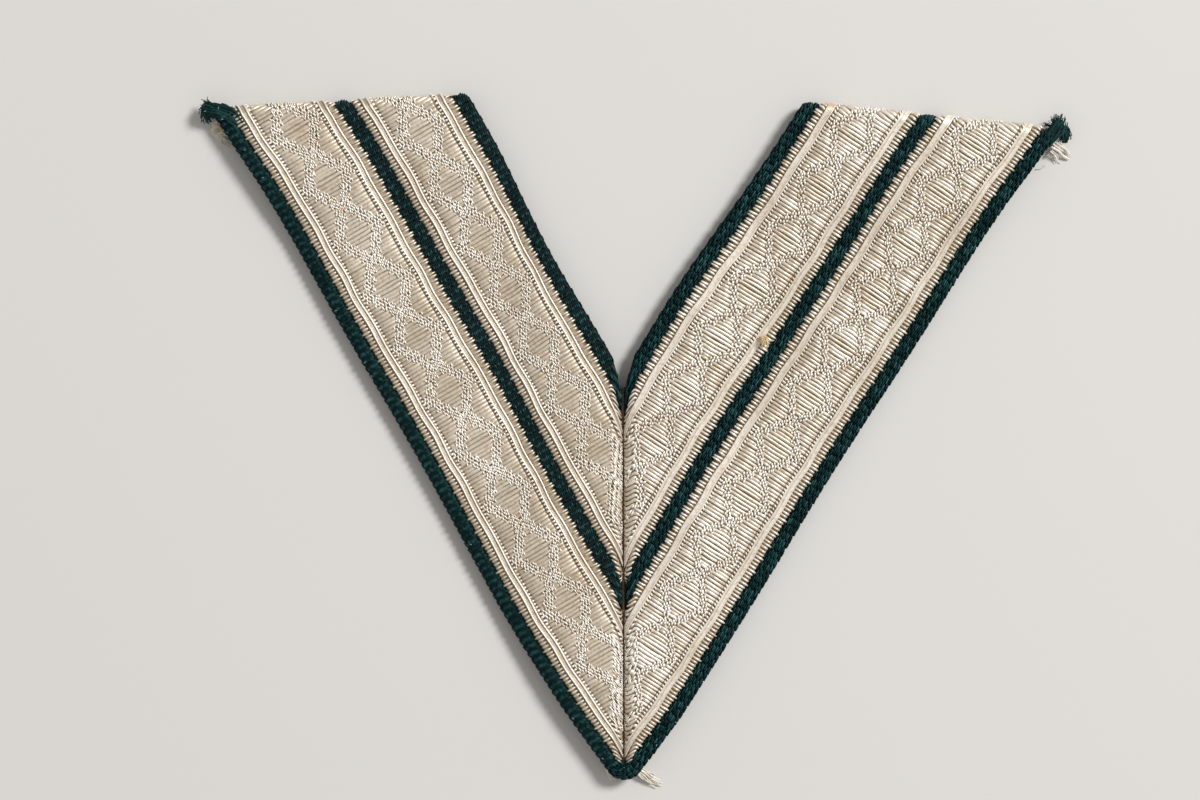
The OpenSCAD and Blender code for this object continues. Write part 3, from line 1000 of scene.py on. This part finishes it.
# The ribs of a stripe keep this far from its sides; a figure's repeat spans eight of them, and
# one lies at RIB_START along the arm
RIB_ROOM = 0.02
RIBS_PER_REPEAT = 8
RIB_START = 60.0


def make_stripe(name, side, v0, width, node, repeat, slot):
    threads = Threads(name, side, lay_arm)
    pitch = repeat / RIBS_PER_REPEAT
    lay_ribs(threads, v0 + RIB_ROOM, width - 2 * RIB_ROOM, reach_of, pitch, RIB_START, True)
    return finish_piece(threads.build(GREEN, *GREEN_SHADE), slot, node)


# Rows of the ground's mesh on its flap, round the seam, on the face, round the fold, on its hem
GROUND_ROWS = [7, 12, 69, 12, 9]


def make_ground(side_name, side):
    """The ground of one arm, from its flap behind the seam over the face to its hem."""
    v = np.concatenate([
        np.linspace(EDGE_W + 0.03, MIDDLE_V, 20),
        np.linspace(MIDDLE_V + 0.1, INNER_BAND_V - 0.1, 4),
        np.linspace(INNER_BAND_V, INNER_EDGE_V, 19),
        np.linspace(INNER_EDGE_V + 0.1, BRAID_W - 0.08, 5),
    ])
    first, last = u_first(v), u_last(v)
    lines = [
        first, on_seam(SEAM_X - ROLL_L, v), on_seam(SEAM_X, v),
        on_fold(-ROLL_REACH, v), on_fold(-ROLL_REACH + ROLL_L, v), last,
    ]
    rows = []
    for start, end, count in zip(lines[:-1], lines[1:], GROUND_ROWS):
        rows += [start + (end - start) * t for t in np.linspace(0, 1, count, endpoint=False)]
    u = np.array(rows + [last])
    grid = np.stack([u, np.broadcast_to(v, u.shape), np.full(u.shape, GROUND_W)], -1)
    threads = Threads(side_name + "_ground", side, lay_arm)
    threads.sheet(grid, GROUND_LOW, 0.0)
    threads.tones = [green_at(threads.points[0][:, 1])]
    ob = threads.build(GROUND, 0.0, 1.0)
    finish_piece(ob, "silver_braid")
    return ob


# The core of the outer edge: how far it stops short of the corners, how far it lies under the
# tops of the ribs, and the height of its inner side, which goes under the silver band
EDGE_SHORT = 0.5
CORE_DOWN = 0.24
CORE_SIDE_W = 0.45
CORE_LOW = 0.1


def make_edge():
    """The outer edge, unbroken round the tip: a core, painted near-black as shade where it shows between
    the ribs, and green ribs.
    """
    end = CORNER_U - EDGE_SHORT - STRAIGHT_U + ARC_L
    threads = Threads("outer_edge_weave", 1, lay_edge)
    s = np.concatenate([
        np.linspace(-end, -ARC_L, 60)[:-1],
        np.linspace(-ARC_L, ARC_L, 25),
        np.linspace(ARC_L, end, 60)[1:],
    ])
    v = np.concatenate([np.linspace(0.1, EDGE_W - 2 * RIB_ROOM, 6), [EDGE_W + 0.3]])
    top = np.minimum(rib_height(v / EDGE_W) - CORE_DOWN, GROUND_W)
    top[-1] = CORE_SIDE_W
    grid = np.stack(np.broadcast_arrays(s[:, None], v[None], top[None]), -1)
    # The core lies below the green's shade heights, so it is painted near-black: painted shade in the
    # gaps between the ribs
    threads.sheet(grid, CORE_LOW, 0.1)
    lay_ribs(threads, 0.0, EDGE_W - 2 * RIB_ROOM, lambda v: (-end, end), EDGE_RIB_PITCH, 0.0, False)
    return finish_piece(threads.build(GREEN, *GREEN_SHADE), "green_selvage", "outer_edge")


def make_arm(arm, side):
    """The stripes and the ground of one arm, whose two silver bands are there already."""
    repeat = BANDS[arm + "_inner"]["repeat"]
    middle = make_stripe(
        arm + "_middle_ribs", side, MIDDLE_V, MIDDLE_W, arm + "_middle_stripe", repeat, "green_stripe"
    )
    edge = make_stripe(
        arm + "_inner_edge_ribs", side, INNER_EDGE_V, EDGE_W, arm + "_inner_edge", repeat, "green_selvage"
    )
    make_ground(arm, side)


def make_braid():
    bands = {key: make_band(key) for key in BANDS}
    make_arm("left", -1)
    make_arm("right", 1)
    make_edge()


make_braid()


# Loose ends. Places are pixels of the photograph, x to the right and y down
def route(rows, steps):
    """A smooth path through rows of (px, py, height in millimetres)."""
    points = np.array([(*spot(px, py), z) for px, py, z in rows])
    long = np.concatenate([[0], np.cumsum(np.linalg.norm(np.diff(points, axis=0), axis=1))])
    t = np.linspace(0, long[-1], steps)
    path = np.stack([np.interp(t, long, points[:, i]) for i in range(3)], -1)
    for _ in range(2):
        path[1:-1] = (path[:-2] + 2 * path[1:-1] + path[2:]) / 4
    return path


def wisps(threads, rows, count, spread, radius, share, wild, steps=9, low=0.06):
    """Many strands of one radius that follow one route and lie up to spread from it.

    Each ends between that share of the route and its end, and strays by wild at each step.
    """
    base = route(rows, steps * 3)
    for _ in range(count):
        end = rng.uniform(share, 1.0) * (len(base) - 1)
        at = np.linspace(0, end, steps)
        path = np.stack([np.interp(at, np.arange(len(base)), base[:, i]) for i in range(3)], -1)
        angle, far = rng.uniform(0, 2 * math.pi), math.sqrt(rng.uniform(0, 1))
        grow = np.linspace(0.75, 1, steps)[:, None]
        side = np.array([math.cos(angle), math.sin(angle), 0.7 * rng.normal(0, 0.6)])
        path = path + side * far * spread * grow
        stray = np.cumsum(rng.normal(0, wild, (steps, 3)), axis=0) * np.array([1, 1, 0.6])
        path = path + stray * np.linspace(0, 1, steps)[:, None]
        path[:, 2] = np.maximum(path[:, 2], radius + low)
        thin = radius * (1 + rng.normal(0, 0.12)) * np.linspace(1, 0.75, steps)
        threads.strand(path, thin, thin, shade_of(0.55, 0.25))


def make_loose(name, material, slot, bunches, *nodes):
    """One piece of bunches: (route, count, spread, radius, share, wild), as wisps takes them."""
    threads = Threads(name, 1, lay_flat)
    for bunch in bunches:
        wisps(threads, *bunch)
    return finish_piece(threads.build(material, *LOOSE_SHADE), slot, *nodes)


def make_raw_ends():
    """The cut ends of the green edge: a bent tuft of yarn at each outer top corner."""
    make_loose("left_yarn_end", YARN, "green_yarn", [
        ([(239, 127, 1.5), (231, 117, 1.6), (222, 111, 1.6), (211, 109, 1.5), (206, 112, 1.2)],
         30, 0.62, 0.2, 0.8, 0.02),
        ([(240, 128, 1.6), (232, 117, 1.8), (222, 111, 1.9), (212, 109, 1.7)],
         110, 0.85, 0.075, 0.5, 0.035),
        ([(216, 109, 1.6), (208, 107, 1.6), (205, 111, 1.3), (207, 117, 0.9)],
         110, 0.72, 0.075, 0.4, 0.05),
        ([(211, 107, 1.8), (206, 104, 1.7), (204, 101, 1.4)], 60, 0.42, 0.045, 0.4, 0.05),
    ], "left_raw_end")
    make_loose("right_yarn_end", YARN, "green_yarn", [
        ([(1047, 141, 1.4), (1054, 132, 1.5), (1059, 126, 1.5), (1060, 121, 1.3)],
         30, 0.6, 0.2, 0.8, 0.02),
        ([(1046, 142, 1.6), (1054, 132, 1.8), (1059, 126, 1.8), (1060, 120, 1.5)],
         110, 0.82, 0.075, 0.5, 0.035),
        ([(1058, 130, 1.5), (1065, 129, 1.5), (1067, 134, 1.2), (1065, 140, 0.9)],
         16, 0.32, 0.17, 0.8, 0.02),
        ([(1058, 130, 1.7), (1066, 128, 1.7), (1068, 134, 1.4), (1065, 141, 0.9)],
         80, 0.45, 0.07, 0.5, 0.04),
        ([(1052, 126, 1.4), (1049, 124, 1.3), (1045, 124, 1.2)], 12, 0.16, 0.05, 0.5, 0.05),
        ([(1058, 125, 1.7), (1058, 120, 1.6), (1059, 117, 1.4)], 70, 0.55, 0.045, 0.4, 0.05),
    ], "right_raw_end")


def make_frays():
    """White threads that have come loose at the corners and at the tip, and a tan knot."""
    make_loose("left_fray", WHITE, "silver_braid", [
        ([(232, 128, 0.9), (216, 122, 0.7), (211, 127, 0.4), (221, 137, 0.25)],
         26, 0.4, 0.042, 0.7, 0.07),
        ([(233, 133, 0.8), (219, 130, 0.5), (218, 137, 0.3), (229, 141, 0.25)],
         26, 0.45, 0.042, 0.6, 0.08),
    ])
    make_loose("left_tan_end", TAN, "silver_braid", [
        ([(227, 131, 1.0), (221, 127, 1.1), (216, 122, 1.0)], 12, 0.22, 0.07, 0.7, 0.03),
    ])
    make_loose("right_fray", WHITE, "silver_braid", [
        ([(1055, 141, 1.0), (1062, 145, 0.8), (1068, 148, 0.5), (1072, 152, 0.3)],
         16, 0.34, 0.055, 0.7, 0.05),
        ([(1053, 146, 1.0), (1061, 150, 0.7), (1067, 156, 0.4), (1074, 158, 0.2)],
         5, 0.08, 0.075, 0.85, 0.015),
        ([(1053, 150, 0.9), (1058, 153, 0.6), (1061, 157, 0.3), (1064, 161, 0.2)],
         7, 0.16, 0.05, 0.7, 0.05),
        ([(1057, 145, 0.9), (1052, 151, 0.6), (1048, 156, 0.4)], 3, 0.05, 0.07, 0.8, 0.01),
        ([(1050, 163, 0.4), (1044, 167, 0.2), (1038, 168, 0.1)], 1, 0.0, 0.04, 0.95, 0.01),
    ])
    make_loose("tip_threads", WHITE, "silver_braid", [
        ([(612, 764, 0.9), (606, 770, 0.5), (609, 776, 0.3), (616, 780, 0.25)],
         12, 0.3, 0.06, 0.6, 0.06),
        ([(632, 768, 0.8), (642, 774, 0.6), (650, 780, 0.4), (660, 785, 0.3)],
         30, 0.5, 0.065, 0.6, 0.06),
    ])
    make_loose("tan_knot", TAN, "silver_braid", [
        ([(761, 338, 2.0), (766, 338, 2.4), (764, 343, 2.3), (768, 345, 2.1)],
         10, 0.25, 0.075, 0.6, 0.1),
        ([(766, 340, 2.2), (771, 341, 2.1), (774, 340, 2.0)], 3, 0.08, 0.06, 0.7, 0.03),
    ])


# Small pale teal specks on the outer edge: painted highlights of the green yarn, made as tiny threads
SPECKS = [
    (573, 718), (603, 759), (656, 746), (675, 723), (336, 310), (364, 362), (371, 376), (245, 150),
    (1042, 155), (218, 107), (204, 112), (222, 119), (470, 545), (262, 178),
]


SPECK_Z, SPECK_HALF, SPECK_R, SPECK_BOW = 2.1, 0.11, 0.032, 0.05


def make_specks():
    threads = Threads("edge_specks", 1, lay_flat)
    for px, py in SPECKS:
        turn = rng.uniform(0, math.pi)
        reach = np.array([math.cos(turn), math.sin(turn), 0]) * SPECK_HALF
        middle = np.array([*spot(px, py), SPECK_Z]) + rng.normal(0, 0.05, 3) * np.array([1, 1, 0.3])
        path = np.array([middle - reach, middle + np.array([0, 0, SPECK_BOW]), middle + reach])
        threads.strand(path, SPECK_R, SPECK_R, 0.9, 4)
    return finish_piece(threads.build(SPECK, *LOOSE_SHADE), "silver_braid")


# The sewing thread in the seam: where it starts and how far it stops before the notch, its
# height above the floor, its half width and its half height
SEAM_THREAD_FROM, SEAM_THREAD_SHORT = 5.0, 1.2
SEAM_THREAD_Z = 0.75
SEAM_THREAD_WIDE, SEAM_THREAD_HIGH = 0.24, 0.5


def make_seam_thread():
    """The sewing thread down in the mitre seam, drawn tight between the two rolled edges."""
    threads = Threads("seam_thread", 1, lay_flat)
    y = np.linspace(SEAM_THREAD_FROM, BRAID_W / SIN_A - SEAM_THREAD_SHORT, 90)
    path = np.stack([lean(0 * y, y), y, np.full(len(y), SEAM_THREAD_Z)], -1)
    threads.strand(path, SEAM_THREAD_WIDE, SEAM_THREAD_HIGH, 0.9, 8)
    return finish_piece(threads.build(BROWN, *LOOSE_SHADE), "silver_braid")


make_raw_ends()
make_frays()
make_specks()
make_seam_thread()


# Floor and light, in metres and watts
FLOOR_HALF = 1.5
FLOOR_COLOUR = rgb(0.56, 0.55, 0.53)
KEY_PLACE, KEY_SIZE, KEY_POWER = (0.98, 0.7, 1.15), 0.5, 31.5
SKY_COLOUR, SKY_STRENGTH = rgb(1, 0.98, 0.95), 0.5


def make_floor():
    me = bpy.data.meshes.new("floor")
    corners = [(x * FLOOR_HALF, y * FLOOR_HALF, 0) for x, y in ((-1, -1), (1, -1), (1, 1), (-1, 1))]
    me.from_pydata(corners, [], [(0, 1, 2, 3)])
    floor = bpy.data.objects.new("floor", me)
    bpy.context.scene.collection.objects.link(floor)
    me.materials.append(node_material("floor", Base_Color=FLOOR_COLOUR, Roughness=0.9)[0])


def area_light(name, place, size, power):
    """A round lamp that points at the middle of the patch."""
    data = bpy.data.lights.new(name, "AREA")
    data.shape, data.size, data.energy = "DISK", size, power
    ob = bpy.data.objects.new(name, data)
    ob.location = place
    bpy.context.scene.collection.objects.link(ob)
    ob.rotation_mode = "QUATERNION"
    ob.rotation_quaternion = (-Vector(place)).to_track_quat("-Z", "Y")


def make_world():
    world = bpy.data.worlds.new("world")
    bpy.context.scene.world = world
    world.use_nodes = True
    sky = world.node_tree.nodes["Background"]
    sky.inputs["Color"].default_value = SKY_COLOUR
    sky.inputs["Strength"].default_value = SKY_STRENGTH


make_floor()
area_light("key", KEY_PLACE, KEY_SIZE, KEY_POWER)
make_world()
bpy.context.scene.view_settings.view_transform = "Standard"
